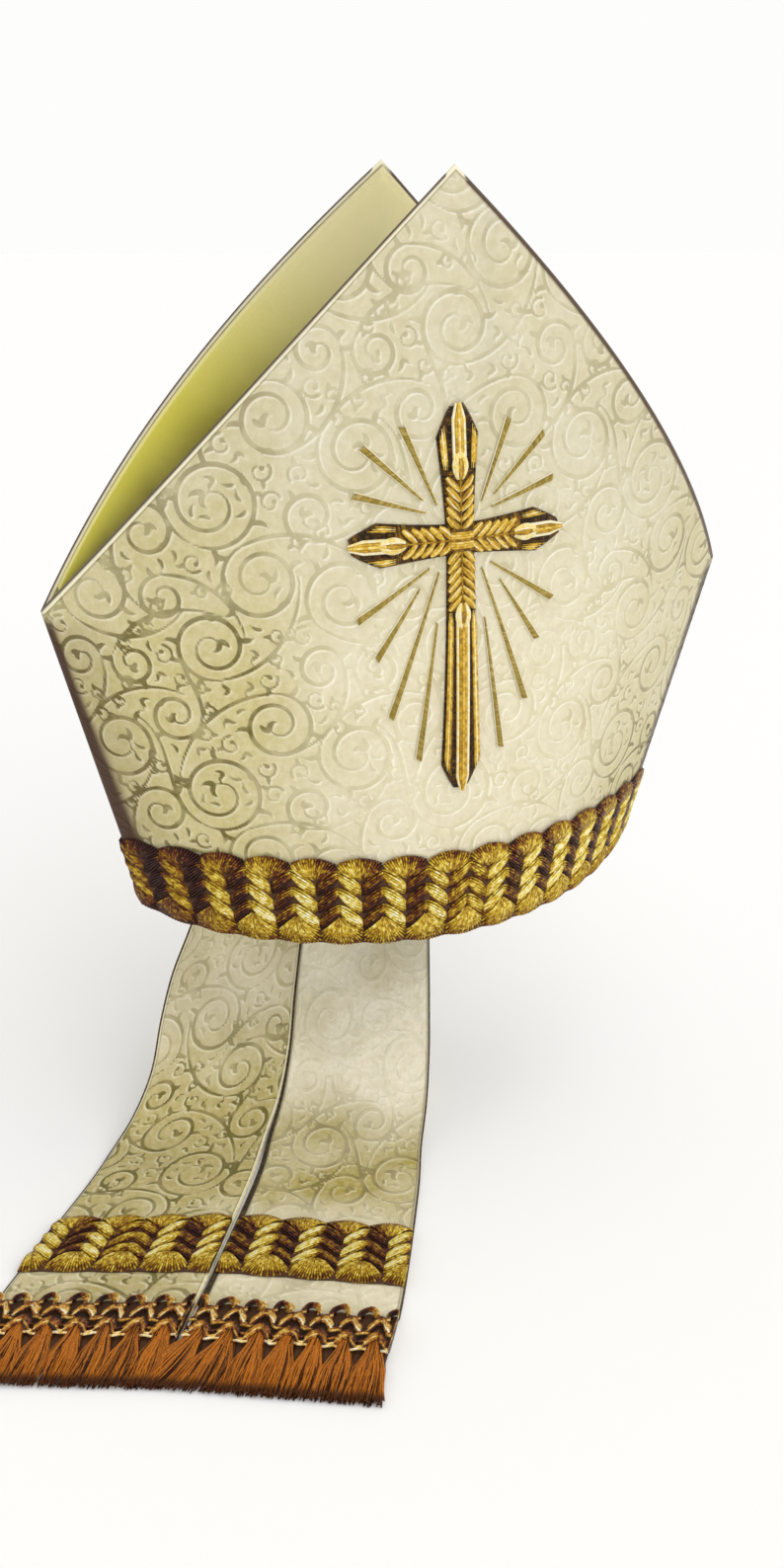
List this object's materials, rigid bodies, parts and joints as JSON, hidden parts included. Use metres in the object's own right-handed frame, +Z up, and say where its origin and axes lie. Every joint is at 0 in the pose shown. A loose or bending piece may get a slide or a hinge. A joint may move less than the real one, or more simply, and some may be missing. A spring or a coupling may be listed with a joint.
{
  "type": "bishop mitre",
  "caption": "Tall two-horned ceremonial hat of stiff brocade with a plaited braid rim, an embroidered cross and fringed lappets that hang from the back and lie forward.",
  "frame": {"origin": "centre of the rim plane, on the axis of the head hollow, where the mitre sits on a head", "axes": "+Z up to the peaks, -Y to the front with the cross, +X to the viewer's right"},
  "size_m": [0.4211, 0.2762, 0.463],
  "materials": {
    "ivory_brocade": "ivory damask with olive scrolls, soft silk sheen",
    "olive_satin": "olive yellow satin",
    "gold_braid": "plaited metallic gold braid with dark brown shading",
    "gold_thread": "satin-stitched gold and cream thread",
    "olive_gold_thread": "twisted olive gold thread",
    "rust_silk": "glossy rust silk strands"
  },
  "bodies": {
    "root": {"front_panel": "ivory_brocade", "back_panel": "ivory_brocade", "lining": "olive_satin", "rim_braid": "gold_braid", "cross": "gold_thread", "ray_01": "olive_gold_thread", "ray_02": "olive_gold_thread", "ray_03": "olive_gold_thread", "ray_04": "olive_gold_thread", "ray_05": "olive_gold_thread", "ray_06": "olive_gold_thread", "ray_07": "olive_gold_thread", "ray_08": "olive_gold_thread", "ray_09": "olive_gold_thread", "ray_10": "olive_gold_thread", "ray_11": "olive_gold_thread", "ray_12": "olive_gold_thread", "ray_13": "olive_gold_thread", "ray_14": "olive_gold_thread", "lappet_left": "ivory_brocade", "lappet_right": "ivory_brocade", "lappet_braid_left": "gold_braid", "lappet_braid_right": "gold_braid", "fringe_left": "rust_silk", "fringe_right": "rust_silk"}
  },
  "joints": []
}
